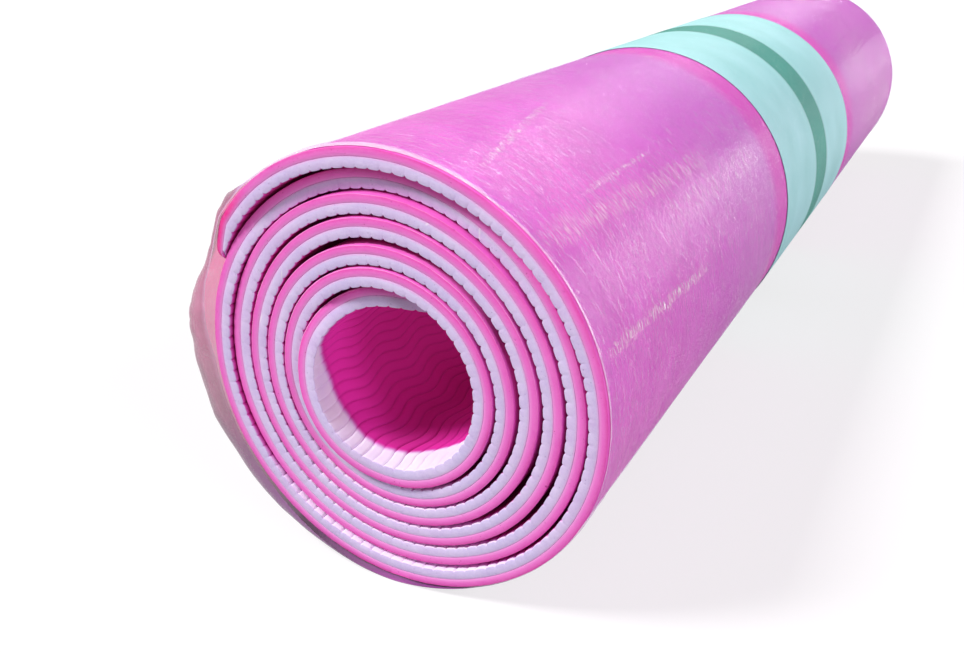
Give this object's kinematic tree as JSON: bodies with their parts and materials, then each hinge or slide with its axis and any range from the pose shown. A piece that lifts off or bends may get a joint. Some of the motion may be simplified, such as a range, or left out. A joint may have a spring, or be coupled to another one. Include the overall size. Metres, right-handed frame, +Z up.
{
  "type": "pilates mat",
  "caption": "Rolled exercise mat of bonded foam layers, ribbed inside, held in a roll by a paper band and a clear film sleeve.",
  "frame": {"origin": "on the surface that the roll rests on, under the middle of its box", "axes": "+Y along the roll, from the end that shows its turns to the far end; +Z up; +X to the right as seen from the open end"},
  "size_m": [0.139, 0.6144, 0.1376],
  "materials": {
    "top_foam": "matte pink closed-cell foam with a fine skin, cut edges open-celled",
    "ribbed_foam": "matte pale lilac foam, ribbed on its face",
    "band_paper": "coated paper, pale mint with a darker stripe round its middle",
    "clear_film": "glossy clear film, wrinkled, slack at the open end"
  },
  "bodies": {
    "root": {"mat_top_layer": "top_foam", "mat_ribbed_layer": "ribbed_foam", "label_band": "band_paper", "film_sleeve": "clear_film"}
  },
  "joints": []
}
